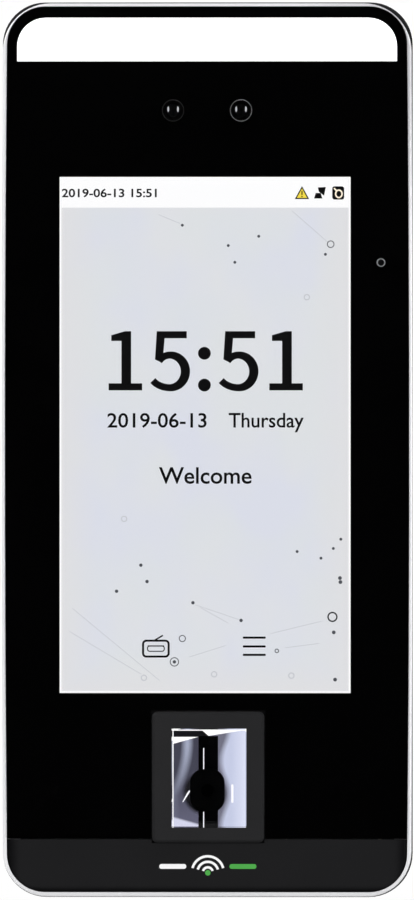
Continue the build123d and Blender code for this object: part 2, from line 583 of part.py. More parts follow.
# ---- tamper switch ------------------------------------------------------------------------------
TAMPER_TIP_Y = -PLATE_T - 0.1
with BuildPart() as tamper_switch:
    block((TAMPER_X - 3, TAMPER_X + 3), (BOARD_BACK_Y, -8.8), (TAMPER_Z - 3, TAMPER_Z + 3))
    post(TAMPER_X, TAMPER_Z, TAMPER_R + 0.3, -8.0, -11.6, Mode.SUBTRACT)
save(tamper_switch, "tamper_switch")

with BuildPart() as tamper_plunger:
    post(TAMPER_X, TAMPER_Z, TAMPER_R, TAMPER_TIP_Y, -10.3)
    fillet(tamper_plunger.faces().sort_by(Axis.Y)[-1].edges(), 0.7)
    post(TAMPER_X, TAMPER_Z, 2.5, -5.7, -6.5)
save(tamper_plunger, "tamper_plunger")

# ---- speaker and microphone ---------------------------------------------------------------------
with BuildPart() as speaker:
    block((SPEAKER_X - 10, SPEAKER_X + 10), (-6.0, -12.0), (-98.4, -87.0))
    fillet(speaker.edges().filter_by(Axis.Z), 1.5)
    block((SPEAKER_X - 8.5, SPEAKER_X + 8.5), (-7.2, -10.8), (-99, -97.4), Mode.SUBTRACT)
save(speaker, "speaker")

with BuildPart() as speaker_gasket:
    block((SPEAKER_X - 10, SPEAKER_X + 10), (-5.0, -13.0), (-99.45, -98.45))
    block((SPEAKER_X - 8.2, SPEAKER_X + 8.2), (-6.0, -12.0), (-100, -98), Mode.SUBTRACT)
save(speaker_gasket, "speaker_gasket")

with BuildPart() as microphone:
    post(MIC_X, MIC_Z, 2.1, -17.25, -18.5)
    post(MIC_X, MIC_Z, 0.4, -17.8, -18.5, Mode.SUBTRACT)
save(microphone, "microphone")

with BuildPart() as microphone_boot:
    post(MIC_X, MIC_Z, 2.5, -18.55, GLASS_BACK_Y + 0.12)
    post(MIC_X, MIC_Z, MIC_BORE_R, -18.0, -22.0, Mode.SUBTRACT)
save(microphone_boot, "microphone_boot")

# ---- underside ports ----------------------------------------------------------------------------
with BuildPart() as port_board:
    block((-36.4, -11.2), (-12.45, -13.4), (-96.9, -74))
save(port_board, "port_board")

with BuildPart() as usb_port:
    shell_x, shell_y = (USB_X - 6.7, USB_X + 6.7), (USB_Y + 3.0, USB_Y - 3.0)
    block(shell_x, shell_y, (-99.8, -85.5))
    block((USB_X - 6.3, USB_X + 6.3), (USB_Y + 2.6, USB_Y - 2.6), (-101, -88.5), Mode.SUBTRACT)
    block((USB_X - 5.6, USB_X + 5.6), (USB_Y - 0.2, USB_Y - 2.0), (-98.6, -88))
save(usb_port, "usb_port")

with BuildPart() as usb_flap:
    block((USB_X - 8.8, USB_X + 8.8), (-5.0, -12.6), (-101.0, -100.0))
    block((USB_X - 2.5, USB_X + 2.5), (-11.9, -12.5), (-101.35, -100.9))  # ridge for a fingernail
save(usb_flap, "usb_flap")

with BuildPart() as reset_switch:
    block((RESET_X - 3, RESET_X + 3), (-6.0, -12.4), (-95.5, -90.5))
    column(RESET_X, RESET_Y, 0.8, -95.6, -95.4)
save(reset_switch, "reset_switch")

with BuildPart() as reset_button:
    column(RESET_X, RESET_Y, RESET_R, -101.0, -96.1)
    column(RESET_X, RESET_Y, 2.3, -98.9, -98.2)
    fillet(reset_button.faces().sort_by(Axis.Z)[0].edges(), 0.3)
save(reset_button, "reset_button")

with BuildPart() as port_flex:
    ribbon(-24, 6, [(-13.55, -76.5), (-13.6, -72.0), (-16.0, -68.0), (-16.0, -12.0), (-15.75, -7.0)])
save(port_flex, "port_flex")

# ---- fingerprint reader -------------------------------------------------------------------------
with BuildPart() as fingerprint_bezel:
    slab(lambda: rectangle(BEZEL_X, BEZEL_Z, BEZEL_W, BEZEL_H, radius=1.2), -20.0, BEZEL_FRONT_Y)
    chamfer(fingerprint_bezel.faces().sort_by(Axis.Y)[0].edges(), 0.55)
    slab(lambda: rectangle(BEZEL_X, BEZEL_Z, BEZEL_W + 2, BEZEL_H + 2, radius=1.5), -20.0, -20.5)
    slab(lambda: rectangle(FINGER_X, FINGER_Z, FINGER_W, FINGER_H, radius=0.4), -19, -24, Mode.SUBTRACT)
save(fingerprint_bezel, "fingerprint_bezel")

PRISM_W, PRISM_H = FINGER_W - 0.2, FINGER_H - 0.2
with BuildPart() as fingerprint_prism:
    low, high = FINGER_Z - PRISM_H / 2, FINGER_Z + PRISM_H / 2
    with BuildSketch(upright(FINGER_X - PRISM_W / 2)):
        Polygon((-22.7, low), (-22.7, high), (-18.2, high), (-16.4, low), align=None)
    extrude(amount=PRISM_W)
    chamfer(fingerprint_prism.faces().sort_by(Axis.Y)[0].edges(), 0.2)
save(fingerprint_prism, "fingerprint_prism")

CASE_W, CASE_H = FINGER_W + 2.6, FINGER_H + 2.0
with BuildPart() as fingerprint_seal:
    slab(lambda: rectangle(FINGER_X, FINGER_Z, CASE_W, CASE_H, radius=1), CASE_FRONT_Y, -20.0)
    slab(lambda: rectangle(FINGER_X, FINGER_Z, PRISM_W + 0.1, PRISM_H + 0.1), -19, -21, Mode.SUBTRACT)
save(fingerprint_seal, "fingerprint_seal")

with BuildPart() as fingerprint_case:
    slab(lambda: rectangle(FINGER_X, FINGER_Z, CASE_W, CASE_H, radius=1), CASE_BACK_Y, CASE_FRONT_Y)
    slab(
        lambda: rectangle(FINGER_X, FINGER_Z, PRISM_W + 0.1, PRISM_H + 0.1),
        CASE_BACK_Y - 0.8,
        CASE_FRONT_Y - 1,
        Mode.SUBTRACT,
    )
    block((LENS_X - 3, LENS_X + 3), (-10, CASE_BACK_Y - 1), (LENS_Z - 3, LENS_Z + 3), Mode.SUBTRACT)
save(fingerprint_case, "fingerprint_case")


def finger_barrel_outline(gap=0.0):
    width, height = FINGER_BARREL_W + 2 * gap, FINGER_BARREL_H + 2 * gap
    rectangle(LENS_X, LENS_Z, width, height, radius=FINGER_BARREL_R + gap)


GUIDE_BACK_Y, GUIDE_FRONT_Y = -13.2, -15.2
SLOT_X, SLOT_W, SLOT_TOP = 0.15, 4.5, -65.0  # dark slot up the middle of the light guide
with BuildPart() as fingerprint_light_guide:
    slab(lambda: rectangle(FINGER_X, FINGER_Z, PRISM_W - 0.1, PRISM_H - 0.1), GUIDE_BACK_Y, GUIDE_FRONT_Y)
    slot_z = SLOT_TOP - PRISM_H / 2
    slab(lambda: rectangle(SLOT_X, slot_z, SLOT_W, PRISM_H), GUIDE_BACK_Y + 1, -16, Mode.SUBTRACT)
    slab(lambda: finger_barrel_outline(0.15), GUIDE_BACK_Y + 1, -16, Mode.SUBTRACT)
save(fingerprint_light_guide, "fingerprint_light_guide")

with BuildPart() as fingerprint_barrel:
    slab(finger_barrel_outline, CASE_BACK_Y - 0.85, -14.8)
    post(LENS_X, LENS_Z, 1.5, CASE_BACK_Y, -16, Mode.SUBTRACT)
save(fingerprint_barrel, "fingerprint_barrel")

with BuildPart() as fingerprint_lens:
    post(LENS_X, LENS_Z, 1.45, -12.6, -14.2)
    fillet(fingerprint_lens.faces().sort_by(Axis.Y)[0].edges(), 0.5)
save(fingerprint_lens, "fingerprint_lens")

with BuildPart() as fingerprint_board:
    block((-9.0, 10.0), (-9.35, -10.25), (-86.5, -57.0))
save(fingerprint_board, "fingerprint_board")

with BuildPart() as fingerprint_chip:
    block((LENS_X - 2.6, LENS_X + 2.6), (-10.3, -11.0), (LENS_Z - 2.6, LENS_Z + 2.6))
save(fingerprint_chip, "fingerprint_chip")

with BuildPart() as fingerprint_flex:
    ribbon(1.5, 6, [(-10.4, -61.0), (-10.5, -57.5), (-16.0, -53.0), (-16.0, -12.0), (-15.75, -7.0)])
save(fingerprint_flex, "fingerprint_flex")

with BuildPart() as card_antenna:
    slab(lambda: rectangle(0, -75.9, 82, 35, radius=3), -18.6, -19.6)
    slab(lambda: rectangle(FINGER_X, FINGER_Z, CASE_W + 1.5, CASE_H + 1.5), -18, -20, Mode.SUBTRACT)
save(card_antenna, "card_antenna")

with BuildPart() as camera_flex:
    ribbon(0, 8, [(-18.4, 70.6), (-18.4, 67.2), (-16.4, 66.7), (-15.75, 63.0)])
save(camera_flex, "camera_flex")
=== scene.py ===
"""Looks of the wall-mounted fingerprint terminal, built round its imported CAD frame.

The script gives every CAD node a procedural finish, adds the picture on the screen and the small
visible details that the frame doesn't hold, and sets up a plain studio. Places on the object are in
millimetres, in the CAD's own frame: +X is right, +Z is up and the front faces -Y. The studio round
it is in metres.
"""

import math

import bmesh
import bpy
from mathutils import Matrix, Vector


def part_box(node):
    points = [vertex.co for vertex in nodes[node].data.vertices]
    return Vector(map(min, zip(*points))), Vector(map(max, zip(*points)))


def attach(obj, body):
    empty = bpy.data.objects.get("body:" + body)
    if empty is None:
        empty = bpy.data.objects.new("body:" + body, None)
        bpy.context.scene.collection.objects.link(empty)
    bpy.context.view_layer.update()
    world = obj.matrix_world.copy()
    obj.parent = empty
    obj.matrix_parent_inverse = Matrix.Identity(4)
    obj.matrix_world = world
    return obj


MM = 0.001
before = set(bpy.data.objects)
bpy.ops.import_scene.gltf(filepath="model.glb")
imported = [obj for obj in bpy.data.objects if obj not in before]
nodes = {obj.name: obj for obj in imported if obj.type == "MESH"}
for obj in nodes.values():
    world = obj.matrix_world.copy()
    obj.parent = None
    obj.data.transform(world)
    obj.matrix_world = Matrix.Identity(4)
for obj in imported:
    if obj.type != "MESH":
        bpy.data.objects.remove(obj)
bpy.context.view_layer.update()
scene = bpy.context.scene


# ---- colours ------------------------------------------------------------------------------------
def srgb(red, green, blue):
    """A display colour from 0 to 255 as the linear colour that a shader takes."""
    linear = []
    for value in (red, green, blue):
        share = value / 255
        linear.append(share / 12.92 if share <= 0.04045 else ((share + 0.055) / 1.055) ** 2.4)
    return (*linear, 1.0)


def shade(color, factor):
    """The same colour, darker or lighter by a factor."""
    return (*(value * factor for value in color[:3]), 1.0)


# ---- materials ----------------------------------------------------------------------------------
class Finish:
    """A Principled material whose colour, gloss and relief come from textures in object space."""

    def __init__(self, name, **values):
        """Values are constants for the shader's sockets, each named with _ for its spaces."""
        self.material = bpy.data.materials.new(name)
        self.material.use_nodes = True
        self.tree = self.material.node_tree
        self.shader = self.tree.nodes["Principled BSDF"]
        for socket, value in values.items():
            self.shader.inputs[socket.replace("_", " ")].default_value = value
        self.place = self.node("ShaderNodeTexCoord").outputs["Object"]
        self.relief = None

    def node(self, kind, **settings):
        """Adds a shader node, with its settings."""
        made = self.tree.nodes.new(kind)
        for key, value in settings.items():
            setattr(made, key, value)
        return made

    def join(self, source, socket):
        """Feeds a node's output, or a constant, into a socket."""
        if isinstance(source, bpy.types.NodeSocket):
            self.tree.links.new(source, socket)
        else:
            socket.default_value = source

    def stretched(self, stretch):
        """The place, with each axis scaled by its own factor."""
        mapping = self.node("ShaderNodeMapping")
        self.join(self.place, mapping.inputs["Vector"])
        mapping.inputs["Scale"].default_value = stretch
        return mapping.outputs["Vector"]

    def noise(self, size, detail=3.0, stretch=None):
        """Noise whose spots are about size millimetres across."""
        texture = self.node("ShaderNodeTexNoise")
        self.join(self.stretched(stretch) if stretch else self.place, texture.inputs["Vector"])
        texture.inputs["Scale"].default_value = 1 / (size * MM)
        texture.inputs["Detail"].default_value = detail
        return texture.outputs["Fac"]

    def cells(self, size):
        """The distance to the nearest of many scattered points, about size millimetres apart."""
        texture = self.node("ShaderNodeTexVoronoi", feature="F1")
        self.join(self.place, texture.inputs["Vector"])
        texture.inputs["Scale"].default_value = 1 / (size * MM)
        return texture.outputs["Distance"]

    def span(self, value, low, high, to_low=0.0, to_high=1.0):
        """Maps value from low..high to to_low..to_high, and holds it at both ends."""
        texture = self.node("ShaderNodeMapRange")
        for source, socket in zip((value, low, high, to_low, to_high), texture.inputs):
            self.join(source, socket)
        return texture.outputs["Result"]

    def calc(self, operation, first, second=0.0):
        made = self.node("ShaderNodeMath", operation=operation)
        self.join(first, made.inputs[0])
        self.join(second, made.inputs[1])
        return made.outputs["Value"]

    def add(self, first, second):
        return self.calc("ADD", first, second)

    def times(self, first, second):
        return self.calc("MULTIPLY", first, second)

    def squared(self, value):
        return self.calc("POWER", value, 2.0)

    def larger(self, first, second):
        return self.calc("MAXIMUM", first, second)

    def over(self, value, limit):
        """1 where the value is over the limit, and 0 elsewhere."""
        return self.calc("GREATER_THAN", value, limit)

    def under(self, value, limit):
        """1 where the value is under the limit, and 0 elsewhere."""
        return self.calc("LESS_THAN", value, limit)

    def away(self, value, place=0.0):
        """How far a coordinate is from a place, on either side of it."""
        return self.calc("ABSOLUTE", self.calc("SUBTRACT", value, place))

    def mix(self, share, first, second):
        """The first colour where the share is 0, and the second where it is 1."""
        made = self.node("ShaderNodeMix", data_type="RGBA")
        for source, socket in zip((share, first, second), (0, 6, 7)):
            self.join(source, made.inputs[socket])
        return made.outputs[2]

    def axes(self):
        """The place's x, y and z, in millimetres."""
        scaled = self.stretched((1 / MM, 1 / MM, 1 / MM))
        split = self.node("ShaderNodeSeparateXYZ")
        self.join(scaled, split.inputs["Vector"])
        return split.outputs

    def bump(self, height, depth):
        """Adds relief of the given depth in millimetres."""
        made = self.node("ShaderNodeBump")
        made.inputs["Strength"].default_value = 1.0
        made.inputs["Distance"].default_value = depth * MM
        self.join(height, made.inputs["Height"])
        if self.relief:
            self.join(self.relief, made.inputs["Normal"])
        self.relief = made.outputs["Normal"]
        self.join(self.relief, self.shader.inputs["Normal"])

    def set(self, socket, source):
        self.join(source, self.shader.inputs[socket])

    def shine(self, color, strength=1.0):
        """Gives off light of a colour."""
        self.set("Emission Color", color)
        self.shader.inputs["Emission Strength"].default_value = strength


def moulded(name, color, roughness, grain=0.22, depth=0.012, **values):
    """Injection-moulded plastic: spark-eroded grain, and mottling in its colour and gloss."""
    finish = Finish(name, **values)
    mottle = finish.noise(9.0)
    fine = finish.noise(grain, 2.0)
    finish.set("Base Color", finish.mix(mottle, shade(color, 0.86), shade(color, 1.14)))
    finish.set("Roughness", finish.span(fine, 0.3, 0.7, roughness - 0.06, roughness + 0.06))
    finish.bump(fine, depth)
    return finish


def metal(name, color, roughness, stretch=(1, 1, 1), grain=0.4, depth=0.006):
    """Bare or plated metal. A stretch above 1 along an axis makes short scratches across it."""
    finish = Finish(name, Metallic=1.0)
    brush = finish.noise(grain, 4.0, stretch)
    cloud = finish.noise(14.0)
    finish.set("Base Color", finish.mix(cloud, shade(color, 0.9), shade(color, 1.08)))
    finish.set("Roughness", finish.span(brush, 0.3, 0.7, roughness - 0.07, roughness + 0.07))
    finish.bump(brush, depth)
    return finish


def galvanised(name):
    """Zinc-plated steel sheet, with crystals a few millimetres across."""
    finish = Finish(name, Metallic=1.0)
    crystal = finish.cells(5.0)
    fine = finish.noise(0.5, 4.0, (1, 1, 6))
    dull_tone_and_shade, bright = srgb(170, 173, 176), srgb(190, 193, 196)
    finish.set("Base Color", finish.mix(crystal, dull_tone_and_shade, bright))
    finish.set("Roughness", finish.span(crystal, 0.0, 1.0, 0.38, 0.46))
    finish.bump(fine, 0.004)
    return finish


def clear(name, ior, roughness=0.004):
    """Polished glass or clear plastic, with the faintest unevenness in its polish."""
    finish = Finish(name, IOR=ior, Transmission_Weight=1.0, Base_Color=(1, 1, 1, 1))
    finish.set("Roughness", finish.span(finish.noise(6.0), 0.3, 0.7, 0.0, roughness))
    return finish


CAMERA_X, CAMERA_Z = 7.7, 76.9
GLINT_X, GLINT_Z = 1.1, 0.3  # from a lens's middle to each of its two painted glints
GLINT_HALF_W, GLINT_HALF_H = 0.24, 0.75


def lens_finish():
    """A coated camera lens: black in its depth, with two slim painted glints, spots of emitted light that
    stand in for reflections.
    """
    finish = Finish("lens_glass", Specular_IOR_Level=0.12)
    depth = finish.noise(1.2, 1.0)
    low, high = (0.0004, 0.0004, 0.0006, 1), (0.0008, 0.0007, 0.0012, 1)
    finish.set("Base Color", finish.mix(depth, low, high))
    finish.set("Roughness", finish.span(depth, 0.3, 0.7, 0.02, 0.04))
    x, _, z = finish.axes()
    # painted glints: two ovals of emitted light, one at each side of each lens's middle
    from_camera = finish.away(finish.away(x), CAMERA_X)
    across = finish.calc("DIVIDE", finish.away(from_camera, GLINT_X), GLINT_HALF_W)
    along = finish.calc("DIVIDE", finish.away(z, CAMERA_Z + GLINT_Z), GLINT_HALF_H)
    oval = finish.add(finish.squared(across), finish.squared(along))
    painted_glint = finish.span(oval, 0.4, 1.0, 1.0, 0.0)
    finish.shine(finish.mix(painted_glint, (0, 0, 0, 1), srgb(196, 196, 200)))
    return finish


def board(name, mask_color):
    """A circuit board: solder mask over tracks that run along X or along Z, with small pads."""
    finish = Finish(name, Coat_Weight=0.35, Coat_Roughness=0.2)
    x, _, z = finish.axes()
    half_pitch, track_edge = 0.6, 0.36
    rows = finish.calc("PINGPONG", finish.add(z, finish.noise(11.0, 0.0)), half_pitch)
    columns = finish.calc("PINGPONG", x, half_pitch)
    across = finish.over(finish.noise(16.0, 0.0), 0.5)
    track = finish.over(finish.mix(across, rows, columns), track_edge)
    pad = finish.under(finish.cells(2.6), 0.16)
    masked = finish.mix(track, mask_color, shade(mask_color, 1.9))
    finish.set("Base Color", finish.mix(pad, masked, srgb(196, 186, 150)))
    finish.set("Metallic", finish.times(pad, 0.8))
    finish.set("Roughness", finish.span(finish.noise(1.2), 0.3, 0.7, 0.32, 0.48))
    finish.bump(track, 0.03)
    return finish


def flex(name):
    """Amber flex cable: copper lines under polyimide film."""
    finish = Finish(name, Coat_Weight=0.5, Coat_Roughness=0.15)
    x, _, _ = finish.axes()
    half_pitch, line_edge = 0.4, 0.18
    line = finish.over(finish.calc("PINGPONG", x, half_pitch), line_edge)
    amber = finish.mix(finish.noise(5.0), srgb(150, 86, 18), srgb(178, 106, 30))
    finish.set("Base Color", finish.mix(line, amber, srgb(112, 58, 14)))
    finish.set("Roughness", finish.span(line, 0.0, 1.0, 0.42, 0.3))
    finish.bump(line, 0.02)
    return finish


def glow(name, color, strength=1.0):
    """A part that gives its own light, with the slight unevenness of a real one."""
    finish = Finish(name, Roughness=0.6, Specular_IOR_Level=0.02, Base_Color=(0.001, 0.001, 0.001, 1))
    finish.shine(finish.mix(finish.noise(2.5), shade(color, 0.98), shade(color, 1.02)), strength)
    return finish


SCREEN_X, SCREEN_Z, SCREEN_HALF_W, SCREEN_HALF_H = -0.45, 3.4, 32.95, 58.45
STATUS_Z = 54.88  # lower edge of the white status bar
GLASS_GAIN = 1.05  # strength that makes up for what the cover glass takes


def screen_picture():
    """The wallpaper: pale clouds, bluer towards the middle, a white status bar and a white rim."""
    finish = Finish(
        "screen_picture", Roughness=0.55, Specular_IOR_Level=0.02, Base_Color=(0.002, 0.002, 0.002, 1)
    )
    x, _, z = finish.axes()
    cloud = finish.span(finish.noise(26.0, 2.0, (1.5, 1.5, 1.0)), 0.36, 0.64)
    patch = finish.span(finish.noise(15.0, 1.0), 0.42, 0.62)
    paper = finish.mix(cloud, srgb(217, 220, 231), srgb(221, 223, 227))
    paper = finish.mix(finish.times(patch, 0.5), paper, srgb(219, 223, 225))
    # the margin is the distance to the nearest edge of the screen
    margin_x = finish.calc("SUBTRACT", SCREEN_HALF_W, finish.away(x, SCREEN_X))
    margin_z = finish.calc("SUBTRACT", SCREEN_HALF_H, finish.away(z, SCREEN_Z))
    margin = finish.calc("MINIMUM", margin_x, margin_z)
    faded = finish.mix(finish.span(margin, 0.4, 9.0, 0.9, 0.0), paper, srgb(222, 222, 224))
    rim = finish.span(margin, 0.3, 0.6, 1.0, 0.0)
    bar = finish.span(z, STATUS_Z - 0.1, STATUS_Z + 0.1)
    finish.shine(finish.mix(finish.larger(rim, bar), faded, srgb(252, 252, 253)), GLASS_GAIN)
    return finish


def light_strip():
    """The white diffuser of the light bar, lit from behind by a row of LEDs."""
    finish = Finish("light_strip", Roughness=0.5, Base_Color=(0.85, 0.85, 0.86, 1))
    x, _, _ = finish.axes()
    half_pitch, first_diode = 4.5, -36.0
    from_diode = finish.calc("PINGPONG", finish.add(x, -first_diode), half_pitch)
    level = finish.times(finish.span(from_diode, 0, half_pitch), 0.04)
    level = finish.add(level, finish.noise(20.0))
    finish.shine(finish.mix(level, srgb(252, 253, 255), srgb(255, 255, 255)), 1.25)
    finish.bump(finish.noise(0.3, 2.0), 0.004)
    return finish


# The finger window's middle. What shows in the window is placed by how far it is from there.
FINGER_X, FINGER_Z = 0.45, -74.3
FINGER_EDGE = 8.15  # the white lines at both sides
SHADE_BAND_LOW = 9.1  # lower edge of the band of painted shade at the upper left
WEDGE_LEFT, WEDGE_RIGHT, WEDGE_LOW = -8.3, -2.5, 7.5  # the white wedge under the band of painted shade
SHADOW_X, SHADOW_Z, SHADOW_R = -1.1, -3.6, 4.3  # the barrel's shadow
STREAK_X, STREAK_BEND = -5.0, 3.2  # the pale streak's upper end, and how far it bends to the left


def reader_left(finish, off, height):
    """The guide's left half: dark, with a pale streak that bends down to the left, and a bright foot."""
    bend = finish.times(finish.squared(finish.span(height, 8.0, -4.0)), STREAK_BEND)
    from_streak = finish.add(finish.add(off, -STREAK_X), bend)
    streak = finish.span(finish.away(from_streak), 0.2, 1.5, 1.0, 0.0)
    streak = finish.times(streak, finish.span(height, -6.0, 7.0, 0.2, 0.95))
    dim = finish.mix(streak, srgb(62, 62, 76), srgb(160, 166, 188))
    dim = finish.mix(finish.span(height, 0.0, -9.0, 0.0, 0.5), dim, srgb(112, 112, 136))
    slanted = finish.add(finish.times(off, 0.28), height)
    foot = finish.span(slanted, -11.6, -11.1, 1.0, 0.0)
    return finish.mix(foot, dim, srgb(204, 205, 226))


def reader_right(finish, off, height):
    """The guide's right half: bright, but darker beside the middle, with an edge that sways."""
    turn, depth = 0.42, 0.9  # the sway, in radians per millimetre of height and in millimetres
    sway = finish.times(finish.calc("SINE", finish.times(height, turn)), depth)
    lit = finish.span(finish.add(off, sway), 2.9, 4.3)
    lit = finish.mix(lit, srgb(108, 108, 124), srgb(190, 196, 220))
    return finish.mix(finish.span(off, 5.0, 8.2), lit, srgb(214, 218, 238))


def reader_edges(finish, off, height):
    """1 on the guide's white edges: along the top, in a wedge under the band of painted shade, and at the
    sides.
    """
    # the white at the top starts lowest near the middle, and higher to both sides, up to a limit
    rise_right = finish.add(finish.times(off, 0.16), 9.35)
    rise_left = finish.add(finish.times(off, -0.85), 9.15)
    top_edge = finish.calc("MINIMUM", finish.larger(rise_right, rise_left), 10.5)
    top = finish.over(height, top_edge)
    wedge_low = finish.span(off, WEDGE_LEFT, WEDGE_RIGHT, WEDGE_LOW, SHADE_BAND_LOW)
    wedge = finish.times(finish.over(height, wedge_low), finish.under(off, WEDGE_RIGHT))
    wedge = finish.times(wedge, finish.under(height, SHADE_BAND_LOW))
    sides = finish.over(finish.away(off), FINGER_EDGE)
    return finish.larger(finish.larger(top, sides), wedge)


def reader_light():
    """The reader's light guide, with the painted shadow of the barrel in front of it and a band of
    painted shade at its top left.
    """
    finish = Finish(
        "reader_light", Roughness=0.3, Specular_IOR_Level=0.1, Base_Color=(0.03, 0.03, 0.035, 1)
    )
    x, _, z = finish.axes()
    off = finish.calc("SUBTRACT", x, FINGER_X)
    height = finish.calc("SUBTRACT", z, FINGER_Z)
    left, right = reader_left(finish, off, height), reader_right(finish, off, height)
    halves = finish.mix(finish.over(off, 0.0), left, right)
    from_shadow = finish.add(
        finish.squared(finish.add(off, -SHADOW_X)),
        finish.squared(finish.add(height, -SHADOW_Z)),
    )
    soft_edge = 0.9
    shadow = finish.span(finish.calc("SQRT", from_shadow), SHADOW_R, SHADOW_R + soft_edge, 1.0, 0.0)
    painted_shade_band = finish.times(finish.over(height, SHADE_BAND_LOW), finish.under(off, 0.0))
    # painted shade: the barrel's shadow and the band at the upper left darken the guide's light
    shaded = finish.mix(finish.larger(shadow, painted_shade_band), halves, srgb(12, 12, 15))
    white = reader_edges(finish, off, height)
    finish.shine(finish.mix(white, shaded, srgb(255, 255, 255)), 1.18)
    return finish


CHIN_FOOT_SHADE = (-100.1, -98.6)  # where painted shade darkens the chin towards its lower edge
CHIN_FLANK_SHADE = (42.4, 45.2)  # and towards its sides


def chin_finish():
    """Satin charcoal cover, with painted shade where its front rounds off towards the frame."""
    finish = Finish("charcoal_plastic", Specular_IOR_Level=0.05)
    x, _, z = finish.axes()
    fine = finish.noise(0.25, 2.0)
    base = finish.mix(finish.noise(12.0), srgb(25, 25, 26), srgb(29, 29, 30))
    # painted shade towards the lower edge and the sides, where the front rounds off
    foot = finish.span(z, *CHIN_FOOT_SHADE, 1.0, 0.0)
    flank_shade = finish.span(finish.away(x), *CHIN_FLANK_SHADE)
    finish.set("Base Color", finish.mix(finish.larger(foot, flank_shade), base, srgb(2, 2, 3)))
    finish.set("Roughness", finish.span(fine, 0.3, 0.7, 0.46, 0.56))
    finish.bump(fine, 0.006)
    return finish


def silver_finish():
    """Bead-blasted, anodised aluminium, with painted shade on its sides, at the upper right and at the
    bottom.
    """
    finish = Finish("silver_frame", Metallic=0.2, Specular_IOR_Level=0.5)
    x, y, z = finish.axes()
    blast = finish.noise(0.3, 3.0)
    base = finish.mix(finish.noise(30.0), srgb(236, 237, 238), srgb(246, 246, 247))
    # painted shade: the side walls, the upper right and the bottom are darkened in the colour
    sides = finish.span(y, -20.0, -18.0)
    upper_right = finish.times(finish.span(x, 20.0, 44.0), finish.span(z, 50.0, 78.0))
    bottom = finish.times(finish.span(z, -98.0, -100.5), 0.4)
    dull_tone_and_shade = finish.larger(finish.larger(upper_right, bottom), sides)
    finish.set("Base Color", finish.mix(dull_tone_and_shade, base, srgb(212, 212, 214)))
    finish.set("Roughness", finish.span(blast, 0.3, 0.7, 0.3, 0.4))
    finish.bump(blast, 0.003)
    return finish


def foam_finish():
    """Black foam rubber, with open pores."""
    finish = Finish("foam_black", Roughness=0.95, Specular_IOR_Level=0.1)
    pores = finish.cells(0.7)
    finish.set("Base Color", finish.mix(pores, srgb(10, 10, 10), srgb(34, 34, 34)))
    finish.bump(pores, 0.15)
    return finish


def ink_finish():
    """Screen-printed black on the back of the glass."""
    finish = Finish("black_print", Specular_IOR_Level=0.02)
    speck = finish.noise(0.6, 2.0)
    deep, soft = (0.0002, 0.0002, 0.0003, 1), (0.0005, 0.0005, 0.0006, 1)
    finish.set("Base Color", finish.mix(speck, deep, soft))
    finish.set("Roughness", finish.span(speck, 0.3, 0.7, 0.55, 0.7))
    return finish


# Each CAD node carries one material, named for its slot. These take their places.
FINISHES = {
    "black_plastic": moulded(
        "black_plastic", srgb(15, 15, 17), 0.52, depth=0.02, Specular_IOR_Level=0.3
    ),
    "charcoal_plastic": chin_finish(),
    "bezel_plastic": moulded("bezel_plastic", srgb(34, 34, 35), 0.5, Specular_IOR_Level=0.12),
    "silver_frame": silver_finish(),
    "cover_glass": clear("cover_glass", 1.33),
    "black_print": ink_finish(),
    "screen": screen_picture(),
    "light_bar": light_strip(),
    "optical_glass": clear("optical_glass", 1.52, 0.002),
    "light_guide": reader_light(),
    "lens_glass": lens_finish(),
    "lens_black": moulded("lens_black", srgb(9, 9, 10), 0.7, 0.15, 0.008, Specular_IOR_Level=0.05),
    "zinc_steel": galvanised("zinc_steel"),
    "screw_steel": metal("screw_steel", srgb(60, 61, 64), 0.38, (1, 4, 1)),
    "tin_plate": metal("tin_plate", srgb(205, 206, 206), 0.3, (5, 1, 1)),
    "gold_contacts": metal("gold_contacts", srgb(226, 182, 86), 0.24),
    "circuit_board": board("circuit_board", srgb(22, 62, 40)),
    "chip_black": moulded("chip_black", srgb(26, 26, 28), 0.55, 0.12, 0.006),
    "flex_amber": flex("flex_amber"),
    "white_plastic": moulded("white_plastic", srgb(226, 224, 214), 0.45, 0.3, 0.01),
    "relay_blue": moulded("relay_blue", srgb(36, 92, 168), 0.3, 0.3, 0.006),
    "rubber_black": moulded("rubber_black", srgb(24, 24, 25), 0.72, 0.18, 0.02, Specular_IOR_Level=0.3),
    "rubber_grey": moulded("rubber_grey", srgb(182, 184, 186), 0.7, 0.2, 0.02),
    "foam_black": foam_finish(),
}
for node in nodes.values():
    slot_name = node.data.materials[0].name
    node.data.materials[0] = FINISHES[slot_name].material


# ---- flat marks with a real thickness -----------------------------------------------------------
def closed_mesh(name, shape):
    """Turns a closed bmesh into mesh data, with its faces pointing outwards."""
    bmesh.ops.recalc_face_normals(shape, faces=shape.faces)
    data = bpy.data.meshes.new(name)
    shape.to_mesh(data)
    shape.free()
    return data


def circle(x, z, radius, steps=40, squeeze=1.0):
    """Points round a circle, or round an oval whose width is squeezed."""
    turn = math.tau / steps
    return [
        (x + radius * squeeze * math.cos(turn * k), z + radius * math.sin(turn * k)) for k in range(steps)
    ]


def rounded_box(x, z, half_w, half_h, radius, steps=6):
    """A rectangle with round corners, going round anticlockwise."""
    points = []
    for corner, (side_x, side_z) in enumerate(((1, 1), (-1, 1), (-1, -1), (1, -1))):
        centre = (x + side_x * (half_w - radius), z + side_z * (half_h - radius))
        for k in range(steps + 1):
            angle = math.pi / 2 * (corner + k / steps)
            points.append((centre[0] + radius * math.cos(angle), centre[1] + radius * math.sin(angle)))
    return points


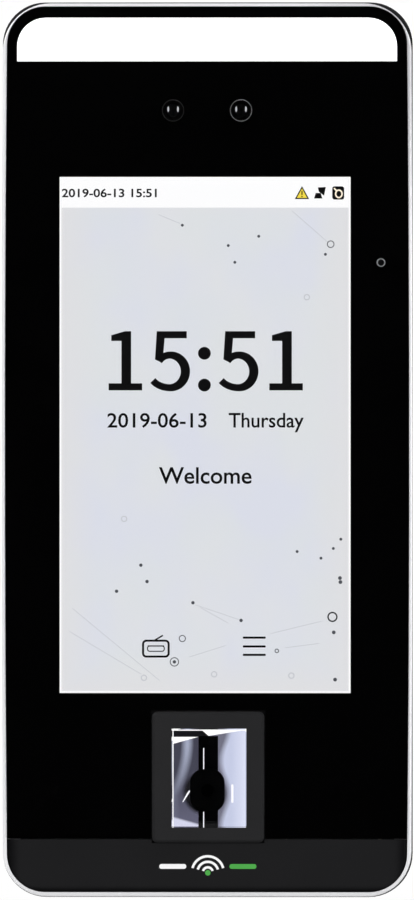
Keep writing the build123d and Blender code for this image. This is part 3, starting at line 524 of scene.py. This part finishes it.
class Marks:
    """Flat marks between two depths, each a closed solid, collected into one mesh."""

    def __init__(self, back, front):
        self.back, self.front = back, front
        self.mesh = bmesh.new()

    def _corner(self, x, z, y):
        return self.mesh.verts.new((x * MM, y * MM, z * MM))

    def area(self, outline):
        """A filled outline."""
        rear = [self._corner(x, z, self.back) for x, z in outline]
        fore = [self._corner(x, z, self.front) for x, z in outline]
        self.mesh.faces.new(rear)
        self.mesh.faces.new(fore[::-1])
        count = len(outline)
        for k in range(count):
            after = (k + 1) % count
            self.mesh.faces.new((rear[k], fore[k], fore[after], rear[after]))

    def disc(self, x, z, radius):
        self.area(circle(x, z, radius, 24))

    def stroke(self, path, width, closed=False):
        """A line along a path. The width is one number, or one for each point."""
        count = len(path)
        widths = width if isinstance(width, list) else [width] * count
        rings = []
        for k, (x, z) in enumerate(path):
            before = path[(k - 1) % count] if closed or k else path[k]
            after = path[(k + 1) % count] if closed or k < count - 1 else path[k]
            ahead = (Vector(after) - Vector(path[k])).normalized()
            behind = (Vector(path[k]) - Vector(before)).normalized()
            along = (ahead + behind).normalized()
            side = Vector((-along.y, along.x))
            # a corner is mitred, so that the line keeps its width through it
            parts = [Vector((-part.y, part.x)) for part in (ahead, behind) if part.length]
            mitre = max(0.4, max(side.dot(part) for part in parts))
            offset = side * widths[k] / 2 / mitre
            left, right = (x + offset.x, z + offset.y), (x - offset.x, z - offset.y)
            rings.append(
                [
                    self._corner(*left, self.front),
                    self._corner(*right, self.front),
                    self._corner(*right, self.back),
                    self._corner(*left, self.back),
                ]
            )
        pairs = list(zip(rings, rings[1:] + rings[:1] if closed else rings[1:]))
        for one, two in pairs:
            for k in range(4):
                self.mesh.faces.new((one[k], one[(k + 1) % 4], two[(k + 1) % 4], two[k]))
        if not closed:
            self.mesh.faces.new(rings[0][::-1])
            self.mesh.faces.new(rings[-1])

    def ring(self, x, z, radius, width):
        self.stroke(circle(x, z, radius, 32), width, closed=True)

    def arc(self, x, z, radius, start, end, width, steps=24):
        """Part of a ring, from one angle to another in degrees."""
        path = []
        for k in range(steps + 1):
            angle = math.radians(start + (end - start) * k / steps)
            path.append((x + radius * math.cos(angle), z + radius * math.sin(angle)))
        self.stroke(path, width)

    def make(self, name, finish, slot, body="terminal"):
        """Ends the collecting: the marks become one piece of the scene."""
        return place(name, closed_mesh(name, self.mesh), finish, slot, body)


def place(name, data, finish, slot, body):
    """Puts a mesh in the scene as a piece that rides on a body."""
    piece = bpy.data.objects.new(name, data)
    scene.collection.objects.link(piece)
    data.materials.append(finish.material)
    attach(piece, body)
    return piece


def lettering(name, text, left, right, low, high, thickness, finish):
    """Generic words or numbers, sized so that their ink fills left..right and low..high."""
    curve = bpy.data.curves.new(name, "FONT")
    curve.body = text
    curve.extrude = 0.5
    curve.resolution_u = 4
    curve.offset = thickness
    source = bpy.data.objects.new(name + "_source", curve)
    scene.collection.objects.link(source)
    bpy.context.view_layer.update()
    data = bpy.data.meshes.new_from_object(source.evaluated_get(bpy.context.evaluated_depsgraph_get()))
    bpy.data.objects.remove(source)
    data.name = name
    lows = [min(v.co[axis] for v in data.vertices) for axis in range(3)]
    highs = [max(v.co[axis] for v in data.vertices) for axis in range(3)]
    for v in data.vertices:
        across, up, deep = ((v.co[k] - lows[k]) / (highs[k] - lows[k]) for k in range(3))
        v.co = (
            (left + (right - left) * across) * MM,
            (UI_BACK + (UI_FRONT - UI_BACK) * deep) * MM,
            (low + (high - low) * up) * MM,
        )
    welded = bmesh.new()
    welded.from_mesh(data)
    bmesh.ops.remove_doubles(welded, verts=welded.verts, dist=0.001 * MM)
    bmesh.ops.recalc_face_normals(welded, faces=welded.faces)
    welded.to_mesh(data)
    welded.free()
    data.materials.clear()
    return place(name, data, finish, "screen", "terminal")


# ---- the picture on the screen ------------------------------------------------------------------
UI_BACK, UI_FRONT = -21.03, -21.06  # just in front of the panel, behind the glass
TOP_BACK, TOP_FRONT = -21.07, -21.10  # for marks on top of other marks
ui_black = glow("ui_black", srgb(15, 15, 16))
ui_grey = glow("ui_grey", srgb(80, 82, 88))
ui_faint = glow("ui_faint", srgb(196, 198, 205))
ui_yellow = glow("ui_yellow", srgb(240, 216, 76), GLASS_GAIN)
ui_cream = glow("ui_cream", srgb(250, 236, 214), GLASS_GAIN)

# The clock's digits, each drawn from its left edge. They stand on DIGIT_LOW and reach DIGIT_TOP.
DIGIT_LOW, DIGIT_TOP = 13.5, 26.9
BAR, STEM = 1.6, 2.2  # thickness of flat and upright strokes


def digit_one(marks, left):
    """A one with a flag and a foot."""
    stem, half_foot = left + 2.9, 3.8
    marks.area(rounded_box(left + half_foot, DIGIT_LOW + BAR / 2, half_foot, BAR / 2, 0.05, 2))
    flag_left, flag_low = left + 0.6, DIGIT_TOP - 2.2
    marks.area(
        [
            (stem, DIGIT_LOW + BAR),
            (stem + STEM, DIGIT_LOW + BAR),
            (stem + STEM, DIGIT_TOP),
            (stem + 0.8, DIGIT_TOP),
            (flag_left, DIGIT_TOP - 0.9),
            (flag_left, flag_low),
            (stem, flag_low),
        ]
    )


def digit_five(marks, left):
    """A five: a flat bar, a short stem and a bowl whose tail runs out to the left."""
    marks.area(
        [
            (left + 1.4, DIGIT_TOP),
            (left + 1.0, DIGIT_TOP - 6.4),
            (left + 2.2, DIGIT_TOP - 7.0),
            (left + 2.9, DIGIT_TOP - 5.2),
            (left + 3.2, DIGIT_TOP - BAR),
            (left + 8.2, DIGIT_TOP - BAR),
            (left + 8.2, DIGIT_TOP),
        ]
    )
    # the bowl is part of an oval, which reaches further to the left at the tail than at the stem
    bowl_x, bowl_z, bowl_half_h = left + 4.4, DIGIT_TOP - 9.1, 3.7
    right_reach, stem_reach, tail_reach = 3.5, 3.2, 4.7
    swell = 0.5  # how much thicker the stroke is at the right
    start, end, steps = 141.0, -146.0, 44
    path, widths = [], []
    for k in range(steps + 1):
        angle = math.radians(start + (end - start) * k / steps)
        if math.cos(angle) > 0:
            reach = right_reach
        else:
            reach = stem_reach if math.sin(angle) > 0 else tail_reach
        path.append((bowl_x + reach * math.cos(angle), bowl_z + bowl_half_h * math.sin(angle)))
        widths.append(BAR + swell * max(0.0, math.cos(angle)))
    marks.stroke(path, widths)


clock = Marks(UI_BACK, UI_FRONT)
digit_one(clock, -22.3)
digit_five(clock, -12.8)
digit_five(clock, 2.7)
digit_one(clock, 14.1)
for colon_z in (21.9, 14.7):
    clock.area(circle(-0.6, colon_z, 1.45, 36))
clock.make("screen_clock", ui_black, "screen")

lettering("screen_date", "2019-06-13", -22.6, -0.1, 5.0, 8.4, 0.012, ui_black)
lettering("screen_weekday", "Thursday", 4.9, 21.9, 4.0, 8.4, 0.012, ui_black)
lettering("screen_greeting", "Welcome", -10.9, 10.1, -7.7, -3.9, 0.013, ui_black)
lettering("screen_status_time", "2019-06-13 15:51", -32.9, -11.4, 57.2, 59.2, 0.02, ui_black)

# Status icons: a warning triangle, a network sign and a badge.
WARNING_X, NETWORK_X, BADGE_X, ICON_Z = 21.5, 25.6, 29.7, 58.2
BADGE_BACK, BADGE_FRONT = -21.11, -21.13
triangle = [(WARNING_X - 1.4, ICON_Z - 1.25), (WARNING_X + 1.4, ICON_Z - 1.25), (WARNING_X, ICON_Z + 1.3)]
yellow = Marks(UI_BACK, UI_FRONT)
yellow.area(triangle)
yellow.make("screen_warning", ui_yellow, "screen")
icons = Marks(TOP_BACK, TOP_FRONT)
icons.stroke(triangle, 0.26, closed=True)
icons.area(rounded_box(WARNING_X, ICON_Z, 0.13, 0.5, 0.1, 3))
icons.disc(WARNING_X, ICON_Z - 0.82, 0.16)
for network_shape in (
    ((-1.35, -1.25), (0.5, -1.25), (0.15, 0.0), (-1.0, 0.0)),
    ((-0.3, 0.3), (0.9, -0.6), (1.3, 1.35), (-0.5, 1.25)),
):
    icons.area([(NETWORK_X + x, ICON_Z + z) for x, z in network_shape])
icons.area(rounded_box(BADGE_X, ICON_Z, 1.35, 1.5, 0.55))
icons.make("screen_icons", ui_black, "screen")
badge = Marks(BADGE_BACK, BADGE_FRONT)
badge.stroke(circle(BADGE_X + 0.15, ICON_Z - 0.2, 0.85, 24, 0.85), 0.34, closed=True)
badge.stroke([(BADGE_X - 0.95, ICON_Z + 1.1), (BADGE_X - 0.35, ICON_Z + 0.45)], 0.34)
badge.make("screen_badge", ui_cream, "screen")

# Buttons: a card sign and a menu of three lines.
SIGN_X, SIGN_Z, MENU_X = -11.6, -45.0, 10.7
buttons = Marks(UI_BACK, UI_FRONT)
buttons.stroke(rounded_box(SIGN_X, SIGN_Z, 2.9, 1.8, 0.75), 0.48, closed=True)
buttons.stroke(rounded_box(SIGN_X, SIGN_Z, 1.9, 0.6, 0.5), 0.24, closed=True)
buttons.stroke([(SIGN_X - 1.85, SIGN_Z + 0.6), (SIGN_X + 1.85, SIGN_Z + 0.6)], 0.28)
buttons.stroke([(SIGN_X - 0.2, SIGN_Z + 1.95), (SIGN_X + 1.6, SIGN_Z + 3.0)], 0.34)
for menu_z in (-42.5, -44.5, -46.4):
    buttons.area(rounded_box(MENU_X, menu_z, 2.6, 0.25, 0.2, 4))
buttons.make("screen_buttons", ui_black, "screen")

# The wallpaper's net: nodes as dots and rings, joined by thin lines.
dark_ring = Marks(TOP_BACK, TOP_FRONT)
dark_ring.ring(28.4, -37.8, 1.0, 0.32)
dark_ring.make("screen_net_ring", ui_black, "screen")
net = Marks(UI_BACK, UI_FRONT)
rings = ((-5.6, -42.7, 0.7), (-7.4, -48.0, 0.95), (28.0, 46.6, 0.75), (15.8, -45.5, 0.4))
for x, z, radius in rings:
    net.ring(x, z, radius, 0.2)
upper_dots = ((-5.6, 50.9), (4.8, 46.3), (6.3, 42.5), (11.7, 48.4), (26.8, 44.3))
left_dots = ((-15.0, -26.1), (-13.6, -29.8), (-20.5, -32.0), (-3.2, -34.6), (7.7, -38.6), (-7.4, -48.0))
right_dots = ((20.4, -23.0), (25.8, -24.5), (28.6, -22.3), (30.3, -20.2))
edge_dots = ((30.1, -29.0), (30.2, -29.9), (28.7, -41.3), (29.0, -52.0))
for dots, radius in ((upper_dots, 0.33), (left_dots, 0.39), (right_dots, 0.33), (edge_dots, 0.43)):
    for x, z in dots:
        net.disc(x, z, radius)
net.make("screen_net_nodes", ui_grey, "screen")

lines = Marks(UI_BACK, UI_FRONT)
for start, end in (
    ((-30.5, -35.9), (-10.8, -52.2)),
    ((-31.2, -41.1), (-14.9, -50.8)),
    ((-2.6, -35.1), (7.2, -38.4)),
    ((-1.5, -35.7), (4.8, -39.2)),
    ((14.3, -41.6), (26.2, -38.7)),
    ((-4.1, -46.9), (4.2, -44.3)),
    ((17.6, -44.8), (25.4, -43.8)),
    ((19.3, 54.1), (27.3, 47.1)),
    ((-11.0, 53.3), (-6.1, 51.3)),
):
    lines.stroke([start, end], 0.12)
for x, z in ((22.6, 34.6), (-18.8, -15.6), (-14.3, -51.6), (1.6, -50.8), (19.1, -51.1)):
    lines.ring(x, z, 0.6, 0.22)
lines.make("screen_net_lines", ui_faint, "screen")


# ---- the mark on the chin -----------------------------------------------------------------------
CHIN_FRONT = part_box("chin_cover")[0].y / MM
MARK_BACK, MARK_FRONT = CHIN_FRONT + 0.05, CHIN_FRONT - 0.02
MARK_X, MARK_Z = 0.2, -94.3
DASH_X, DASH_HALF_W, DASH_HALF_H = 7.95, 3.05, 0.55  # the bars at both sides of the arcs
chin_white = moulded("mark_white", srgb(240, 240, 240), 0.45, 0.3, 0.002)
chin_green = moulded("mark_green", srgb(68, 164, 64), 0.45, 0.3, 0.002)
white_mark = Marks(MARK_BACK, MARK_FRONT)
for ridge in range(3):
    white_mark.arc(MARK_X, MARK_Z - 1.3, 1.1 + 1.25 * ridge, 15, 165, 0.55)
white_mark.area(rounded_box(MARK_X - DASH_X, MARK_Z, DASH_HALF_W, DASH_HALF_H, 0.5))
white_mark.make("chin_mark_white", chin_white, "charcoal_plastic")
green_mark = Marks(MARK_BACK, MARK_FRONT)
green_mark.area(rounded_box(MARK_X + DASH_X, MARK_Z, DASH_HALF_W, DASH_HALF_H, 0.5))
green_mark.disc(MARK_X, MARK_Z - 1.45, 0.62)
green_mark.make("chin_mark_green", chin_green, "charcoal_plastic")


# ---- small details behind the windows -----------------------------------------------------------
def turned_ring(name, centre, profile, finish, slot, steps=64):
    """A closed ring: a profile of (radius, depth) points turned about the Y axis at centre."""
    mesh = bmesh.new()
    rows = []
    for k in range(steps):
        angle = math.tau * k / steps
        rows.append(
            [
                mesh.verts.new(
                    (
                        (centre[0] + radius * math.cos(angle)) * MM,
                        depth * MM,
                        (centre[1] + radius * math.sin(angle)) * MM,
                    )
                )
                for radius, depth in profile
            ]
        )
    for one, two in zip(rows, rows[1:] + rows[:1]):
        for k in range(len(profile)):
            after = (k + 1) % len(profile)
            mesh.faces.new((one[k], one[after], two[after], two[k]))
    return place(name, closed_mesh(name, mesh), finish, slot, "terminal")


# A thin trim ring round each camera, in two greys: painted light makes the right one the brighter,
# painted shade the left one the darker.
RING_IN, RING_OUT, RING_BACK, RING_FRONT = 2.36, 2.5, -21.19, -21.24
RING_PROFILE = (
    (RING_IN, RING_BACK),
    (RING_IN, RING_FRONT),
    (RING_OUT, RING_FRONT),
    (RING_OUT, RING_BACK),
)
for side_name, ring_x, grey in (("left", -CAMERA_X, 40), ("right", CAMERA_X, 150)):
    # painted light and shade: the ring's grey differs between left and right
    ring_finish = moulded(f"ring_{side_name}", srgb(grey, grey, grey), 0.5, depth=0.004)
    ring_name = f"camera_ring_{side_name}"
    turned_ring(ring_name, (ring_x, CAMERA_Z), RING_PROFILE, ring_finish, "lens_black")

# Painted glints in the reader's window, reflections drawn as glowing marks: one at each side of the
# barrel, and a slim one above and below it.
GLINT_MARK_BACK, GLINT_MARK_FRONT = -15.25, -15.45
# painted light: these marks glow, though they stand for reflections
painted_glint_light = glow("painted_glint_light", srgb(244, 244, 250), 1.2)
painted_glints = Marks(GLINT_MARK_BACK, GLINT_MARK_FRONT)
painted_glints.area(rounded_box(5.65, -78.0, 0.26, 2.1, 0.24))
painted_glints.area([(-5.7, -79.9), (-5.45, -79.9), (-3.95, -77.6), (-4.1, -77.2), (-4.7, -78.0)])
for glint_z, half_h in ((-70.1, 2.4), (-83.8, 1.7)):
    painted_glints.area(rounded_box(-0.85, glint_z, 0.11, half_h, 0.1, 4))
painted_glints.make("fingerprint_painted_glints", painted_glint_light, "light_guide")


# ---- studio -------------------------------------------------------------------------------------
def flat_sheet(name, corners, finish):
    """One flat face that belongs to the studio."""
    mesh = bmesh.new()
    mesh.faces.new([mesh.verts.new(corner) for corner in corners])
    data = bpy.data.meshes.new(name)
    mesh.to_mesh(data)
    mesh.free()
    data.materials.append(finish.material)
    sheet = bpy.data.objects.new(name, data)
    scene.collection.objects.link(sheet)
    return sheet


def floor_finish():
    """Matt white paper, clear when seen from below so that the underside can be looked at."""
    finish = Finish("floor_paper", Specular_IOR_Level=0.1)
    fibre = finish.noise(60.0)
    finish.set("Base Color", finish.mix(fibre, (0.84, 0.84, 0.84, 1), (0.86, 0.86, 0.86, 1)))
    finish.set("Roughness", finish.span(fibre, 0.3, 0.7, 0.85, 0.95))
    below = finish.node("ShaderNodeNewGeometry").outputs["Backfacing"]
    blend = finish.node("ShaderNodeMixShader")
    finish.join(below, blend.inputs[0])
    finish.join(finish.shader.outputs["BSDF"], blend.inputs[1])
    finish.join(finish.node("ShaderNodeBsdfTransparent").outputs["BSDF"], blend.inputs[2])
    finish.join(blend.outputs["Shader"], finish.tree.nodes["Material Output"].inputs["Surface"])
    return finish


# A pale floor under the object, which the glass and the metal don't mirror.
FLOOR_Z, FLOOR_HALF, FLOOR_FRONT, FLOOR_BACK = -0.135, 4.0, -6.0, 0.9
floor = flat_sheet(
    "studio_floor",
    [
        (-FLOOR_HALF, FLOOR_FRONT, FLOOR_Z),
        (FLOOR_HALF, FLOOR_FRONT, FLOOR_Z),
        (FLOOR_HALF, FLOOR_BACK, FLOOR_Z),
        (-FLOOR_HALF, FLOOR_BACK, FLOOR_Z),
    ],
    floor_finish(),
)
floor.visible_transmission = False
floor.visible_glossy = False

# A black card beside the camera, which only the glass's reflection sees.
CARD_Y, CARD_CENTRE_X, CARD_HALF_W, CARD_LOW, CARD_TOP = -2.0, -0.04, 0.16, -0.9, 0.24
card_finish = moulded("card_black", (0.0005, 0.0005, 0.0005, 1), 0.9, Specular_IOR_Level=0.0)
card = flat_sheet(
    "studio_card",
    [
        (CARD_CENTRE_X - CARD_HALF_W, CARD_Y, CARD_LOW),
        (CARD_CENTRE_X + CARD_HALF_W, CARD_Y, CARD_LOW),
        (CARD_CENTRE_X + CARD_HALF_W, CARD_Y, CARD_TOP),
        (CARD_CENTRE_X - CARD_HALF_W, CARD_Y, CARD_TOP),
    ],
    card_finish,
)
card.visible_camera = False
card.visible_diffuse = False
card.visible_shadow = False


def softbox(name, location, width, height, power, reflected=True):
    """A rectangular light that faces the object, and shows in its reflections or not."""
    data = bpy.data.lights.new(name, "AREA")
    data.shape = "RECTANGLE"
    data.size, data.size_y = width, height
    data.energy = power
    lamp = bpy.data.objects.new(name, data)
    scene.collection.objects.link(lamp)
    lamp.location = location
    lamp.rotation_euler = (-Vector(location)).to_track_quat("-Z", "Y").to_euler()
    lamp.visible_camera = False
    lamp.visible_glossy = reflected
    lamp.visible_transmission = reflected


# A light's place, its width and height, and its power in watts.
softbox("key", (-1.65, -1.5, 1.35), 1.4, 1.4, 42)
softbox("fill", (1.9, -1.4, 0.4), 1.0, 1.4, 31)
softbox("front", (-0.3, -2.4, -0.7), 1.2, 0.8, 13, reflected=False)
softbox("rear_left", (-1.4, 1.6, 0.9), 1.0, 1.0, 20)
softbox("rear_right", (1.5, 1.5, 0.6), 1.0, 1.0, 18)

# The camera sees white behind the object, while the object is lit by a grey room.
BACKDROP_WHITE, ROOM_GREY = (1.0, 1.0, 1.0, 1), (0.27, 0.27, 0.28, 1)
world = bpy.data.worlds.new("studio")
scene.world = world
world.use_nodes = True
sky = world.node_tree
backdrop = sky.nodes["Background"]
backdrop.inputs["Color"].default_value = BACKDROP_WHITE
surround = sky.nodes.new("ShaderNodeBackground")
surround.inputs["Color"].default_value = ROOM_GREY
seen = sky.nodes.new("ShaderNodeLightPath")
choice = sky.nodes.new("ShaderNodeMixShader")
sky.links.new(seen.outputs["Is Camera Ray"], choice.inputs["Fac"])
sky.links.new(surround.outputs["Background"], choice.inputs[1])
sky.links.new(backdrop.outputs["Background"], choice.inputs[2])
sky.links.new(choice.outputs["Shader"], sky.nodes["World Output"].inputs["Surface"])
scene.view_settings.view_transform = "Standard"

# ---- camera -------------------------------------------------------------------------------------
VIEW_HEIGHT = 0.2038  # metres of the object that the picture's height takes in
LENS, SENSOR = 700.0, 36.0
AZIMUTH, ELEVATION = math.radians(1.2), math.radians(0.3)
distance = VIEW_HEIGHT * LENS / SENSOR
aim = Vector((0.0, -0.022, 0.0))
back = Vector(
    (
        math.sin(AZIMUTH) * math.cos(ELEVATION),
        -math.cos(AZIMUTH) * math.cos(ELEVATION),
        math.sin(ELEVATION),
    )
)
lens = bpy.data.cameras.new("camera")
lens.lens, lens.sensor_width = LENS, SENSOR
lens.clip_start, lens.clip_end = 0.1, 20.0
camera = bpy.data.objects.new("camera", lens)
scene.collection.objects.link(camera)
camera.location = aim + back * distance
camera.rotation_euler = (-back).to_track_quat("-Z", "Y").to_euler()
scene.camera = camera
